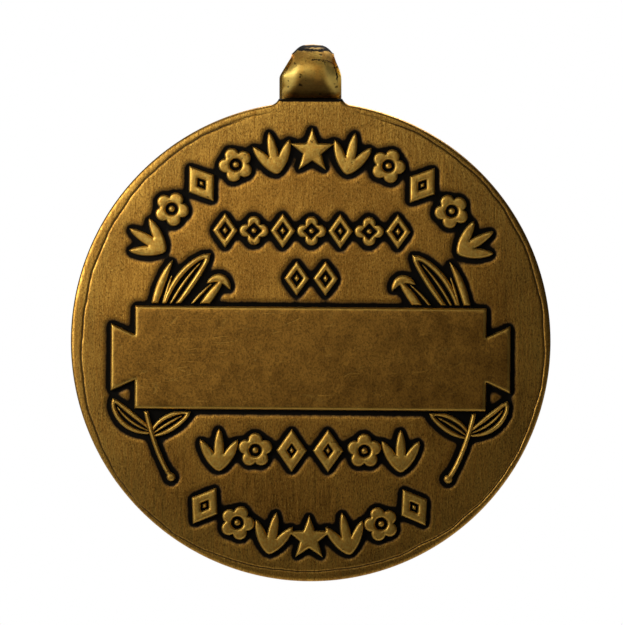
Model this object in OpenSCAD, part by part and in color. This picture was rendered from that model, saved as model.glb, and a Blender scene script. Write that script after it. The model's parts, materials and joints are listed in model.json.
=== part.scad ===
// Struck bronze service medal with a rolled suspension loop.
// The disc hangs in the XZ plane below the loop: its reverse faces -Y and its obverse +Y.
// The origin is the centre of the loop's bore. Lengths are in millimetres.
// Every relief is drawn flat, about the disc's centre, and then raised from one of the two fields.

/* [Disc] */
// Diameter of the disc
disc_d = 35; // [32:0.5:40]
// Thickness of the disc between its two fields
disc_t = 2.4; // [2:0.1:3]
// Height of the neck's shoulder above the top of the disc
neck_rise = 0.2; // [0.1:0.05:0.4]
// Radius of the fillets between the neck and the disc
neck_fillet = 0.75; // [0.5:0.05:1]

/* [Suspension loop] */
// Width of the rolled tab at its root
tab_w = 4.5; // [4:0.1:5]
// Height, from the bore's centre, at which the tab's sides start to curve in to its top
arch_from = -0.2; // [-0.5:0.05:0.3]
// Thickness of the rolled tab
tab_t = 0.95; // [0.8:0.05:1.1]
// Radius of the bore that takes the suspension ring
bore_r = 1; // [0.8:0.05:1.1]
// Gap between the roll and the shoulder of the neck
roll_gap = 0.05; // [0.03:0.01:0.1]

/* [Name panel] */
// Width of the panel between its dovetails
panel_w = 25.6; // [24:0.2:27]
// Depth of the panel from its top edge to its bottom edge
panel_deep = 7.5; // [7:0.1:8.4]
// Height of the panel's middle above the centre of the disc
panel_rise = -1.24; // [-1.6:0.02:-1]
// How far each dovetail reaches past the panel
tail_reach = 1.75; // [1.2:0.05:2.2]
// Height of the panel above the field
panel_h = 0.4; // [0.3:0.05:0.5]

/* [Ornaments] */
// Height of the leaves and ornaments above the field
relief_h = 0.35; // [0.25:0.05:0.45]
// Size of the bold ornaments, along their upright axis
bold_h = 3.1; // [2.8:0.05:3.3]
// Width of the bands that the bold ornaments are drawn with
bold_band = 0.6; // [0.4:0.05:0.7]
// Size of the fine ornaments, along their upright axis
fine_h = 2.5; // [2.2:0.05:2.7]
// Width of the bands that the fine ornaments are drawn with
fine_band = 0.36; // [0.28:0.02:0.44]
// Radius of the upper arc of ornaments
upper_arc_r = 14; // [13.8:0.05:14.2]
// Angle between neighbours on the upper arc
upper_arc_pitch = 11.7; // [11.4:0.1:12]
// Radius of the lower arc of ornaments
lower_arc_r = 14.25; // [14:0.05:14.4]
// Angle between neighbours on the lower arc
lower_arc_pitch = 10.8; // [10.6:0.1:11.4]

/* [Obverse] */
// Width of the raised rim
rim_w = 1.2; // [0.8:0.1:1.6]
// Height of the raised rim above the field
rim_h = 0.45; // [0.3:0.05:0.6]
// Number of beads inside the rim
bead_count = 60; // [48:4:64]
// Diameter of each bead
bead_d = 0.8; // [0.6:0.05:0.9]
// Pairs of leaves on each branch of the wreath
leaf_pairs = 8; // [6:1:8]
// Radius of the circle that the wreath's branches follow
wreath_r = 10.6; // [10:0.1:11]
// Distance from the middle of the star to its points
star_r = 6.6; // [5:0.1:7]

/* [Hidden] */
$fn = 96;

bronze = "#8a6a2c";
worn_bronze = "#a5823c";
disc_r = disc_d / 2;
roll_r = bore_r + tab_t;
shoulder_z = -roll_r - roll_gap;
disc_z = shoulder_z - neck_rise - disc_r;
panel_top = panel_rise + panel_deep / 2;
panel_bottom = panel_rise - panel_deep / 2;
leaf_gap = 0.2;
bold_w = 2.2;
bold_pitch = 2.65;
fine_w = 1.8;
fine_pitch = 2.1;
upper_row_rise = 8.06;
centre_pair_rise = 4.6;
lower_row_rise = -7.95;
stem_axis = [[-12, -5], [-11.25, -8.3], [-10.1, -9.95]];
stem_w = 0.32;
stem_end_r = 0.3;
fine_line = 0.17;
twig_from = 12;
twig_to = 158;
twig_w = 0.34;
outline_steps = 14;

// ---- Curves ----

// Point at share t along the curve that starts at p[0], bends towards p[1] and ends at p[2]
function along(p, t) = (1 - t) * (1 - t) * p[0] + 2 * t * (1 - t) * p[1] + t * t * p[2];

// Unit vector to the left of that curve at share t
function aside(p, t) =
    let (d = (1 - t) * (p[1] - p[0]) + t * (p[2] - p[1]))
    [-d.y, d.x] / norm(d);

// Half of a leaf's width at share t: pointed at both ends, widest at the middle
function leaf_half_width(w, t) = w / 2 * pow(sin(180 * t), 0.62);

// A pointed blade of width w around the curve p
module blade(p, w) {
    right = [for (i = [0 : outline_steps])
        let (t = i / outline_steps) along(p, t) - leaf_half_width(w, t) * aside(p, t)];
    left = [for (i = [outline_steps - 1 : -1 : 1])
        let (t = i / outline_steps) along(p, t) + leaf_half_width(w, t) * aside(p, t)];
    polygon(concat(right, left));
}

// The part of curve p between shares a and b, as a curve of the same kind
function stretch(p, a, b) = [
    along(p, a),
    (1 - a) * (1 - b) * p[0] + (a * (1 - b) + b * (1 - a)) * p[1] + a * b * p[2],
    along(p, b)
];

// A leaf of width w with a vein of width vein_w cut between two shares of its length
module leaf(p, w, vein_w, vein_from = 0.14, vein_to = 0.84) {
    difference() {
        blade(p, w);
        blade(stretch(p, vein_from, vein_to), vein_w);
    }
}

// An open leaf: a band around a sunk middle of width sunk_w, with a midrib in it
module open_leaf(p, w, sunk_w) {
    difference() {
        blade(p, w);
        blade(stretch(p, 0.02, 0.9), sunk_w);
    }
    blade(stretch(p, 0.06, 0.82), fine_line);
}

// A stalk of even width w along the curve p
module stalk(p, w) {
    right = [for (i = [0 : outline_steps])
        let (t = i / outline_steps) along(p, t) - w / 2 * aside(p, t)];
    left = [for (i = [outline_steps : -1 : 0])
        let (t = i / outline_steps) along(p, t) + w / 2 * aside(p, t)];
    polygon(concat(right, left));
}

// ---- Placing ----

// Raises a flat drawing from the reverse field by h
module on_reverse(h) {
    translate([0, -disc_t / 2, disc_z])
        rotate([90, 0, 0])
            linear_extrude(h) children();
}

// Raises a flat drawing from the obverse field by h, read from the obverse side
module on_obverse(h) {
    translate([0, disc_t / 2, disc_z])
        rotate([90, 0, 180])
            linear_extrude(h) children();
}

// ---- Disc and loop ----

// The shoulder that carries the loop, with a fillet where each side runs into the disc
module neck_outline() {
    fillet_x = tab_w / 2 + neck_fillet;
    fillet_y = sqrt(pow(disc_r + neck_fillet, 2) - pow(fillet_x, 2));
    bury = 1.2;
    difference() {
        translate([-fillet_x, disc_r - bury])
            square([2 * fillet_x, bury + neck_rise]);
        for (side = [-1, 1])
            translate([side * fillet_x, fillet_y]) circle(r = neck_fillet);
    }
}

module planchet() {
    color(bronze)
        translate([0, 0, disc_z])
            rotate([90, 0, 0])
                linear_extrude(disc_t, center = true) {
                    circle(r = disc_r);
                    neck_outline();
                }
}

// The rolled tab seen along its bore, with the obverse to the right: a root that stands on
// the shoulder, a roll that leaves it, and the slit where the roll's tip comes back to the root
module roll_section() {
    root_x = 0.25;
    slit_w = 0.12;
    difference() {
        union() {
            circle(r = roll_r);
            translate([root_x, shoulder_z])
                square([disc_t / 2 - root_x, -shoulder_z]);
        }
        circle(r = bore_r);
        translate([root_x - slit_w, -2 * roll_r]) square([slit_w, 2 * roll_r]);
        translate([-roll_r, -2 * roll_r]) square([roll_r + root_x, roll_r + roll_gap / 2]);
    }
}

// The rolled tab seen from the front: straight sides under an elliptical arch
module roll_front() {
    arch_rise = roll_r - arch_from;
    arch = [for (a = [0 : 7.5 : 180]) [tab_w / 2 * cos(a), arch_from + arch_rise * sin(a)]];
    polygon(concat([[tab_w / 2, shoulder_z]], arch, [[-tab_w / 2, shoulder_z]]));
}

module suspension_loop() {
    color(worn_bronze)
        intersection() {
            rotate([90, 0, 90])
                linear_extrude(2 * tab_w, center = true) roll_section();
            rotate([90, 0, 0])
                linear_extrude(4 * roll_r, center = true) roll_front();
        }
}

// ---- Name panel ----

// Each end of the panel opens into a short dovetail
module name_panel() {
    tail_outer = 4.9;
    tail_inner = 3.3;
    end_x = panel_w / 2;
    tip_x = end_x + tail_reach;
    right_half = [
        [end_x, -panel_deep / 2], [end_x, -tail_inner / 2], [tip_x, -tail_outer / 2],
        [tip_x, tail_outer / 2], [end_x, tail_inner / 2], [end_x, panel_deep / 2]
    ];
    color(worn_bronze)
        on_reverse(panel_h)
            translate([0, panel_rise])
                polygon(concat(right_half, -right_half));
}

// ---- Ornaments: plain geometric forms in the places of a legend ----

module diamond(w, h) {
    polygon([[w / 2, 0], [0, h / 2], [-w / 2, 0], [0, -h / 2]]);
}

// A diamond-shaped band of even width around a small diamond
module lozenge(w, h, band) {
    slant = norm([w, h]);
    inner_w = w - 2 * band * slant / h;
    inner_h = h - 2 * band * slant / w;
    seed = 0.4;
    difference() {
        diamond(w, h);
        diamond(inner_w, inner_h);
    }
    diamond(seed * inner_w, seed * inner_h);
}

// Round petals of radius r, centred on a disc's edge, the first one at the top
module petals(count, ring_r, r) {
    circle(r = ring_r);
    for (i = [0 : count - 1])
        rotate(i * 360 / count) translate([0, ring_r]) circle(r = r);
}

// A flower of the given width with a sunk ring around its middle
module rosette(count, w, eye_r, seed_r) {
    ring_r = w / 3.4;
    difference() {
        petals(count, ring_r, w / 2 - ring_r);
        circle(r = eye_r);
    }
    circle(r = seed_r);
}

// A flower with four petals and a pellet in a sunk diamond
module fine_flower(w, pellet_d) {
    ring_r = 0.28 * w;
    difference() {
        petals(4, ring_r, w / 2 - ring_r);
        diamond(2 * ring_r, 2 * ring_r);
    }
    circle(d = pellet_d);
}

// Three upright leaves that fan out from one foot
module palmette(h, leaf_w) {
    lean = 31;
    side_share = 0.86;
    translate([0, -h / 2])
        for (i = [-1 : 1])
            let (long = i == 0 ? h : side_share * h)
                rotate(-i * lean) blade([[0, 0], [0, long / 2], [0, long]], leaf_w);
}

// A five-pointed star with one point up
module star(r) {
    waist = 0.42;
    polygon([for (i = [0 : 9])
        (i % 2 == 0 ? r : waist * r) * [-sin(36 * i), cos(36 * i)]]);
}

// One bold ornament: a palmette, a flower, a diamond or a star, chosen by its first letter
module bold(kind) {
    flower_w = 2.5;
    eye_r = 0.46;
    seed_r = 0.22;
    leaf_w = bold_band + 0.12;
    star_size = 0.54 * bold_h;
    if (kind == "p") palmette(bold_h, leaf_w);
    if (kind == "f") rosette(5, flower_w, eye_r, seed_r);
    if (kind == "d") lozenge(bold_w, bold_h, bold_band);
    if (kind == "s") translate([0, -0.1]) star(star_size);
}

// One fine ornament: a flower or a diamond
module fine(kind) {
    flower_w = 2.1;
    if (kind == "f") fine_flower(flower_w, fine_band);
    if (kind == "d") lozenge(fine_w, fine_h, fine_band);
}

// Upright bold ornaments around the disc's centre: above it, or below it if r is negative
module arc_of_bold(pattern, r, pitch) {
    middle = (len(pattern) - 1) / 2;
    for (i = [0 : len(pattern) - 1])
        rotate(-sign(r) * (i - middle) * pitch)
            translate([0, r]) bold(pattern[i]);
}

// How far ornament i of a row stands from the middle of the row
function place_in_row(pattern, i, pitch) = (i - (len(pattern) - 1) / 2) * pitch;

module row_of_bold(pattern, pitch, rise) {
    for (i = [0 : len(pattern) - 1])
        translate([place_in_row(pattern, i, pitch), rise]) bold(pattern[i]);
}

module row_of_fine(pattern, pitch, rise) {
    for (i = [0 : len(pattern) - 1])
        translate([place_in_row(pattern, i, pitch), rise]) fine(pattern[i]);
}

module upper_arc_ornaments() {
    color(worn_bronze)
        on_reverse(relief_h) arc_of_bold("pfdfpspfdfp", upper_arc_r, upper_arc_pitch);
}

module upper_row_ornaments() {
    color(worn_bronze)
        on_reverse(relief_h) row_of_fine("dfdfdfd", fine_pitch, upper_row_rise);
}

module centre_pair_ornaments() {
    color(worn_bronze)
        on_reverse(relief_h) row_of_fine("dd", fine_pitch, centre_pair_rise);
}

module lower_row_ornaments() {
    color(worn_bronze)
        on_reverse(relief_h) row_of_bold("pfddfp", bold_pitch, lower_row_rise);
}

module lower_arc_ornaments() {
    color(worn_bronze)
        on_reverse(relief_h) arc_of_bold("dfpspfd", -lower_arc_r, lower_arc_pitch);
}

// ---- Laurel on the reverse ----
// Each leaf is drawn for the left side, around a curve from its foot to its tip.

// flip is 0 for the left side and 1 for the right
module laurel(flip) {
    color(worn_bronze)
        on_reverse(relief_h)
            mirror([flip, 0]) children();
}

// What is left of a drawing above the panel
module above_panel() {
    intersection() {
        children();
        translate([-disc_r, panel_top + leaf_gap]) square([2 * disc_r, disc_r]);
    }
}

// What is left of a drawing below the panel
module below_panel() {
    intersection() {
        children();
        translate([-disc_r, panel_bottom - leaf_gap - disc_r]) square([2 * disc_r, disc_r]);
    }
}

// A narrow leaf seen edge-on, with the line of its far edge beside it
module outer_leaf() {
    near_axis = [[-11.65, 1.4], [-11.2, 4.1], [-10.1, 5.85]];
    far_axis = [[-10.95, 2], [-10.55, 3.6], [-10.15, 4.75]];
    above_panel() {
        blade(near_axis, w = 0.56);
        blade(far_axis, w = fine_line);
    }
}

module middle_leaf() {
    axis = [[-10.9, 1.3], [-9.45, 4.6], [-7.35, 6.35]];
    above_panel() open_leaf(axis, w = 1.5, sunk_w = 0.76);
}

// A leaf whose tip has folded over to the side
module folded_leaf() {
    near_axis = [[-8.5, 1.6], [-7.45, 3.2], [-6.4, 4.5]];
    far_axis = [[-9.15, 2], [-8.3, 3.3], [-7.25, 4.15]];
    fold_axis = [[-7.6, 4.2], [-6.45, 5.15], [-5.9, 3.75]];
    above_panel() {
        blade(near_axis, w = 0.62);
        blade(far_axis, w = fine_line);
        blade(fold_axis, w = 0.62);
    }
}

module stem() {
    below_panel() {
        stalk(stem_axis, stem_w);
        translate(stem_axis[2]) circle(r = stem_end_r);
    }
}

module lower_outer_leaf() {
    axis = [[-11.45, -6.7], [-13.6, -6.05], [-14.4, -4.25]];
    difference() {
        open_leaf(axis, w = 1.25, sunk_w = 0.62);
        stalk(stem_axis, stem_w);
    }
}

module lower_inner_leaf() {
    axis = [[-11.6, -6.95], [-10.5, -6], [-8.7, -5.2]];
    below_panel()
        difference() {
            open_leaf(axis, w = 1.25, sunk_w = 0.64);
            stalk(stem_axis, stem_w);
        }
}

module upper_left_outer_leaf() laurel(0) outer_leaf();
module upper_left_middle_leaf() laurel(0) middle_leaf();
module upper_left_folded_leaf() laurel(0) folded_leaf();
module upper_right_outer_leaf() laurel(1) outer_leaf();
module upper_right_middle_leaf() laurel(1) middle_leaf();
module upper_right_folded_leaf() laurel(1) folded_leaf();
module lower_left_stem() laurel(0) stem();
module lower_left_outer_leaf() laurel(0) lower_outer_leaf();
module lower_left_inner_leaf() laurel(0) lower_inner_leaf();
module lower_right_stem() laurel(1) stem();
module lower_right_outer_leaf() laurel(1) lower_outer_leaf();
module lower_right_inner_leaf() laurel(1) lower_inner_leaf();

// ---- Obverse ----

module obverse_rim() {
    color(bronze)
        on_obverse(rim_h)
            difference() {
                circle(r = disc_r);
                circle(r = disc_r - rim_w);
            }
}

module obverse_beads() {
    ring_r = disc_r - rim_w - bead_d;
    color(worn_bronze)
        on_obverse(relief_h)
            for (i = [0 : bead_count - 1])
                rotate(i * 360 / bead_count)
                    translate([ring_r, 0]) circle(d = bead_d);
}

module obverse_star() {
    color(worn_bronze)
        on_obverse(rim_h) star(star_r);
}

// Point of the wreath at an angle from the bottom of the disc, at distance r from its centre
function around(angle, r) = r * [sin(angle), -cos(angle)];

// An arc-shaped twig between two angles
module twig(from, to) {
    steps = 48;
    angles = [for (i = [0 : steps]) from + (to - from) * i / steps];
    outer = [for (angle = angles) around(angle, wreath_r + twig_w / 2)];
    inner = [for (i = [steps : -1 : 0]) around(angles[i], wreath_r - twig_w / 2)];
    polygon(concat(outer, inner));
}

// A leaf that leaves the twig at an angle: outwards if way is 1, inwards if it is -1
module wreath_leaf(angle, way) {
    leaf_long = 3.1;
    spread = 1.55;
    clear_of_twig = 0.06;
    span = leaf_long / wreath_r * 180 / PI;
    leaf([
        around(angle, wreath_r + way * (twig_w / 2 + clear_of_twig)),
        around(angle + 0.42 * span, wreath_r + way * 1.05 * spread),
        around(angle + span, wreath_r + way * 0.95 * spread)
    ], w = 1.15, vein_w = 0.16);
}

// Leaves in pairs along the twig on the right, as read from the obverse
module twig_leaves() {
    first = 4;
    last_short_by = 2;
    pitch = (twig_to - twig_from - first - last_short_by) / leaf_pairs;
    for (i = [0 : leaf_pairs - 1])
        for (way = [-1, 1])
            wreath_leaf(twig_from + first + i * pitch, way);
}

// flip is 0 for the right side and 1 for the left, as read from the obverse
module wreath_side(flip) {
    color(worn_bronze)
        on_obverse(relief_h)
            mirror([flip, 0]) children();
}

module wreath_left_branch() wreath_side(1) twig(twig_from, twig_to);
module wreath_right_branch() wreath_side(0) twig(twig_from, twig_to);
module wreath_left_leaves() wreath_side(1) twig_leaves();
module wreath_right_leaves() wreath_side(0) twig_leaves();

// The knot at the bottom of the wreath: a pellet between two loops and two tails
module wreath_tie() {
    knot_r = 0.42;
    color(worn_bronze)
        on_obverse(relief_h)
            translate([0, -wreath_r]) {
                circle(r = knot_r);
                for (side = [0, 1])
                    mirror([side, 0]) {
                        leaf([[0.5, 0], [1.1, 0.75], [1.95, 0.05]], w = 0.75, vein_w = 0.14);
                        blade([[0.35, -0.45], [0.6, -1.1], [1.35, -1.6]], w = 0.5);
                    }
            }
}

planchet();
suspension_loop();
name_panel();
upper_arc_ornaments();
upper_row_ornaments();
centre_pair_ornaments();
lower_row_ornaments();
lower_arc_ornaments();
upper_left_outer_leaf();
upper_left_middle_leaf();
upper_left_folded_leaf();
upper_right_outer_leaf();
upper_right_middle_leaf();
upper_right_folded_leaf();
lower_left_stem();
lower_left_outer_leaf();
lower_left_inner_leaf();
lower_right_stem();
lower_right_outer_leaf();
lower_right_inner_leaf();
obverse_rim();
obverse_beads();
obverse_star();
wreath_left_branch();
wreath_left_leaves();
wreath_right_branch();
wreath_right_leaves();
wreath_tie();
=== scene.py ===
# %% [markdown]
# # A struck bronze service medal
# The medal is one piece of bronze: a disc with raised work on both sides, and a tongue at the
# top that is rolled over into a loop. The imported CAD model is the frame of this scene. It says
# how large each feature is and where it sits, and every piece below is a finer version of one
# of its nodes. The disc hangs in the XZ plane, its reverse looks along -Y, and the origin is
# the middle of the loop's bore.

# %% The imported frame
import json
import math

import bpy
import numpy as np
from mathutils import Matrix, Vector, kdtree, noise
from mathutils.geometry import delaunay_2d_cdt


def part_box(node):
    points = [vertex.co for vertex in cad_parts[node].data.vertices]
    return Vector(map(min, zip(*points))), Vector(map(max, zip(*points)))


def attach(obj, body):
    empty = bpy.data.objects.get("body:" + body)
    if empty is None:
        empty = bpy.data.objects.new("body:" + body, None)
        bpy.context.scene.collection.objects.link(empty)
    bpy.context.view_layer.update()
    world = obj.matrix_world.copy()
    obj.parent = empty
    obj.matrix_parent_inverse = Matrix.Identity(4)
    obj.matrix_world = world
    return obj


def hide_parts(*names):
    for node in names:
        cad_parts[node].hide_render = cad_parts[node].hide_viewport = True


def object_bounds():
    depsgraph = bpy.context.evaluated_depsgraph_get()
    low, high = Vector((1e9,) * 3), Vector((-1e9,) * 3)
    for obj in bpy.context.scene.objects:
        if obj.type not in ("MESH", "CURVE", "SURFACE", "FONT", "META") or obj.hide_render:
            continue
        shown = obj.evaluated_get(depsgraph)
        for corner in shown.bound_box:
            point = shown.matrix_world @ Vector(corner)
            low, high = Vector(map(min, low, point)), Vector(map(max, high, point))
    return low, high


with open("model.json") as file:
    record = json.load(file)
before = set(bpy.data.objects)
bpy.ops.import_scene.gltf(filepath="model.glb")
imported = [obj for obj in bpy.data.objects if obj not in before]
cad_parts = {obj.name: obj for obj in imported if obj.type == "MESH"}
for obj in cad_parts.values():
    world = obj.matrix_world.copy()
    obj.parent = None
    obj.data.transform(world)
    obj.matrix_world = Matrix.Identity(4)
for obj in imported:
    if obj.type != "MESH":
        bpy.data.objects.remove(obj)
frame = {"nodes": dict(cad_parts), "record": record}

cad_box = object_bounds()
nodes = frame["nodes"]
print(len(nodes), "CAD nodes, box in metres:", cad_box)

# %% [markdown]
# ## Working in millimetres
# Blender measures in metres, but a medal's relief is a third of a millimetre high, so the
# shapes are worked out in millimetres and scaled once, when a mesh is made. The few sizes that
# everything hangs on are read from the boxes of the CAD nodes.

# %% Driving sizes
MM = 0.001
REVERSE = -1
OBVERSE = 1


def box_mm(node):
    """Lowest and highest corner of a CAD node."""
    low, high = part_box(node)
    return np.array(low) / MM, np.array(high) / MM


disc_low, disc_high = box_mm("planchet")
disc_r = (disc_high[0] - disc_low[0]) / 2
disc_z = disc_low[2] + disc_r
half_t = (disc_high[1] - disc_low[1]) / 2
print(f"disc {2 * disc_r:.1f} mm across and {2 * half_t:.1f} mm thick, centre at z {disc_z:.2f}")

# %% [markdown]
# ## Reading an outline from the frame
# Each raised feature of the CAD is a flat drawing pushed out of the field. Its outline is the
# border of the triangles that look straight out of the medal: an edge that only one of those
# triangles uses lies on the border, and the border edges chain into closed loops. The loops
# run with the metal on their left.

# %% Outline loops of a node


def flat_triangles(node, facing):
    """Corner points (x, z) of the node's triangles that look along facing."""
    mesh = nodes[node].data
    mesh.calc_loop_triangles()
    points = np.array([v.co for v in mesh.vertices]) / MM
    corners = points[np.array([t.vertices for t in mesh.loop_triangles])]
    normal = np.cross(corners[:, 1] - corners[:, 0], corners[:, 2] - corners[:, 0])
    normal /= np.linalg.norm(normal, axis=1)[:, None] + 1e-12
    return corners[normal[:, 1] * facing > 0.9][:, :, [0, 2]]


def outline_loops(node, facing):
    """The node's outline as closed loops of (x, z) points."""
    corners = flat_triangles(node, facing)
    points, index = np.unique(np.round(corners.reshape(-1, 2), 4), axis=0, return_inverse=True)
    sides = set()
    for a, b, c in index.reshape(-1, 3):
        sides.update([(a, b), (b, c), (c, a)])
    after = {a: b for a, b in sides if (b, a) not in sides}
    loops = []
    while after:
        start, here = after.popitem()
        loop = [start]
        while here != start:
            loop.append(here)
            here = after.pop(here)
        loops.append(points[loop][::-facing])
    return loops


def resampled(loop, step):
    """The same loop with points no further apart than step."""
    ahead = np.roll(loop, -1, axis=0)
    pieces = []
    for a, b in zip(loop, ahead):
        count = max(1, math.ceil(np.linalg.norm(b - a) / step))
        pieces.append(a + (b - a) * np.linspace(0, 1, count, endpoint=False)[:, None])
    return np.vstack(pieces)


def inward(loop):
    """Unit vectors that point into the metal, one for each point of a loop."""
    along = np.roll(loop, -1, axis=0) - np.roll(loop, 1, axis=0)
    left = np.stack([-along[:, 1], along[:, 0]], axis=1)
    return left / (np.linalg.norm(left, axis=1)[:, None] + 1e-12)


# %% [markdown]
# ## Filling an outline with a mesh
# A relief needs many small faces near its edge, where it rounds over, and few on its top. So
# points are laid in rows that follow the edge, then in a loose grid, and a constrained
# Delaunay triangulation joins them without crossing the outline. A small random shift keeps
# the grid from showing as a pattern.

# %% Triangulation


def inside(points, loops):
    """True for each point that has metal around it: rays to the right cross the loops oddly."""
    result = np.zeros(len(points), bool)
    a = np.vstack(loops)
    b = np.vstack([np.roll(loop, -1, axis=0) for loop in loops])
    batch = max(1, 4_000_000 // len(a))
    for first in range(0, len(points), batch):
        x, z = points[first:first + batch].T[:, :, None]
        spans = (a[:, 1] > z) != (b[:, 1] > z)
        rise = np.where(b[:, 1] == a[:, 1], 1, b[:, 1] - a[:, 1])
        crossing = a[:, 0] + (z - a[:, 1]) * (b[:, 0] - a[:, 0]) / rise
        result[first:first + batch] = (spans & (x < crossing)).sum(axis=1) % 2 == 1
    return result


def point_tree(points):
    """A search tree that finds the nearest of these points quickly."""
    tree = kdtree.KDTree(len(points))
    for i, (x, z) in enumerate(points):
        tree.insert((x, z, 0), i)
    tree.balance()
    return tree


def distance_to(tree, points):
    """How far each point lies from the nearest point in the tree."""
    return np.array([tree.find((x, z, 0))[2] for x, z in points])


def loose_grid(loops, spacing, random):
    """Points inside the loops in staggered rows, each shifted a little at random."""
    low = np.vstack(loops).min(axis=0)
    high = np.vstack(loops).max(axis=0)
    x, z = np.meshgrid(np.arange(low[0], high[0], spacing), np.arange(low[1], high[1], spacing))
    x[1::2] += spacing / 2
    points = np.stack([x.ravel(), z.ravel()], axis=1)
    points += random.uniform(-0.15, 0.15, points.shape) * spacing
    return points[inside(points, loops)]


def triangulated(loops, extra):
    """Points, triangles, and the place of each loop point in points."""
    border = np.vstack(loops)
    edges = []
    first = 0
    for loop in loops:
        count = len(loop)
        edges += [(first + i, first + (i + 1) % count) for i in range(count)]
        first += count
    everything = np.vstack([border, extra]) if len(extra) else border
    out, _, triangles, source, _, _ = delaunay_2d_cdt(
        [Vector(p) for p in everything], edges, [], 0, 1e-6)
    points = np.array([(p.x, p.y) for p in out])
    triangles = np.array(triangles)
    triangles = triangles[inside(points[triangles].mean(axis=1), loops)]
    a, b, c = points[triangles].transpose(1, 0, 2)
    turn = (b[:, 0] - a[:, 0]) * (c[:, 1] - a[:, 1]) - (b[:, 1] - a[:, 1]) * (c[:, 0] - a[:, 0])
    triangles[turn < 0] = triangles[turn < 0][:, ::-1]
    place = np.zeros(len(everything), int)
    for i, sources in enumerate(source):
        place[sources] = i
    return points, triangles, place[:len(border)]


# %% [markdown]
# ## From points to an object
# Every piece becomes one closed mesh that rides on the medal's only body and stands for its
# CAD node. Distances that the finishes need, such as how far a point lies from the edge of its
# relief, are stored on the mesh as attributes, so that wear and patina follow the real shape.

# %% Making a piece


def make_piece(node, points, faces, measures):
    """One object that stands for a CAD node. measures are distances in mm, by name."""
    mesh = bpy.data.meshes.new("struck_" + node)
    mesh.from_pydata((points * MM).tolist(), [], [list(map(int, f)) for f in faces])
    mesh.polygons.foreach_set("use_smooth", [True] * len(mesh.polygons))
    for name, values in measures.items():
        mesh.attributes.new(name, "FLOAT", "POINT").data.foreach_set("value", values)
    piece = bpy.data.objects.new("struck_" + node, mesh)
    bpy.context.scene.collection.objects.link(piece)
    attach(piece, "root")
    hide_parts(node)
    print(piece.name, len(points), "points", len(mesh.polygons), "faces")
    return piece


def outward_faces(triangles, facing):
    """Triangles drawn with the metal on their left, turned to look along facing."""
    return triangles if facing == REVERSE else triangles[:, ::-1]


def wall_faces(loops, upper, lower, facing):
    """Quads that join a border at one height to the same border at another."""
    faces = []
    first = 0
    for loop in loops:
        count = len(loop)
        for i in range(count):
            j = (i + 1) % count
            quad = [upper[first + i], lower[first + i], lower[first + j], upper[first + j]]
            faces.append(quad if facing == REVERSE else quad[::-1])
        first += count
    return faces


# %% [markdown]
# ## Struck relief
# A die leaves raised work with sloping walls and soft shoulders, because metal flows poorly
# into sharp corners. The height of each point therefore depends on how far it lies from the
# outline: it starts part of the way up the wall, rises over a rounded shoulder and ends in a
# nearly flat top. A slow noise makes the tops slightly uneven, as they are when a die is cut
# by hand. The foot is sunk below the field, and is a little wider than the top.

# %% Relief from an outline
relief_random = np.random.default_rng(7)
FOOT_DEPTH = 0.16
DRAFT = 0.05
FINE_STEP = 0.02
SWELL_REACH = 0.3
TOP_RIPPLE = 0.012
FOOT_GAP = -0.2
relief_borders = {REVERSE: [], OBVERSE: []}


def uneven(points, size, seed):
    """Slow noise from -1 to 1, with features of about the given size in mm."""
    return np.array([noise.noise((x / size, z / size, seed)) for x, z in points])


def rounded_rise(gap, shoulder):
    """From 0 at the border to 1 past the shoulder, along a quarter of a round."""
    t = np.clip(gap / shoulder, 0, 1)
    return np.sqrt(1 - (1 - t) ** 2)


def relief_piece(node, facing, shoulder, crown, spacing, border_step=0.06, start=0.45):
    """A raised piece of the medal, from the outline and the height of its CAD node.

    crown is how much higher than its shoulder its middle swells, in mm. start is the share of
    the height at which the wall meets the rounded shoulder.
    """
    loops = [resampled(loop, border_step) for loop in outline_loops(node, facing)]
    border = np.vstack(loops)
    fine_border = np.vstack([resampled(loop, FINE_STEP) for loop in loops])
    relief_borders[facing].append(fine_border)
    tree = point_tree(fine_border)
    rows = []
    for distance in (0.25 * shoulder, 0.6 * shoulder, shoulder):
        row = np.vstack([loop + distance * inward(loop) for loop in loops])
        row = row[inside(row, loops)]
        gap = distance_to(tree, row)
        rows.append(row[gap > 0.88 * distance])
    grid = loose_grid(loops, spacing, relief_random)
    rows.append(grid[distance_to(tree, grid) > 1.25 * shoulder])
    top, triangles, place = triangulated(loops, np.vstack(rows))
    gap = distance_to(tree, top)
    gap[place] = 0

    low, high = box_mm(node)
    height = high[1] - low[1]
    swell = crown * (1 - np.exp(-gap / SWELL_REACH))
    rise = (height - crown) * (start + (1 - start) * rounded_rise(gap, shoulder)) + swell
    rise += TOP_RIPPLE * uneven(top + disc_r, 0.7, 3.1) * (gap > 0)
    top_y = facing * (half_t + rise)
    foot = border - DRAFT * np.vstack([inward(loop) for loop in loops])
    foot_y = facing * (half_t - FOOT_DEPTH)
    base, base_triangles, base_place = triangulated(loops, np.empty((0, 2)))
    base[base_place] = foot

    points = np.vstack([
        np.column_stack([top[:, 0], top_y, top[:, 1]]),
        np.column_stack([base[:, 0], np.full(len(base), foot_y), base[:, 1]]),
    ])
    faces = list(outward_faces(triangles, facing))
    faces += list(outward_faces(base_triangles[:, ::-1] + len(top), facing))
    faces += wall_faces(loops, place, base_place + len(top), facing)
    edge_gap = np.concatenate([gap, np.full(len(base), FOOT_GAP)])
    return make_piece(node, points, faces, {"edge_gap": edge_gap})


# %% [markdown]
# ## Name panel
# The panel is a flat table for an engraved name. Its edge is crisp, so the shoulder is narrow,
# and its top is level, with the grid kept fine enough to carry a slight waviness.

# %% Name panel
pieces = {}
pieces["name_panel"] = relief_piece(
    "name_panel", REVERSE, shoulder=0.16, crown=0.02, spacing=0.28, border_step=0.1)

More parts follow.
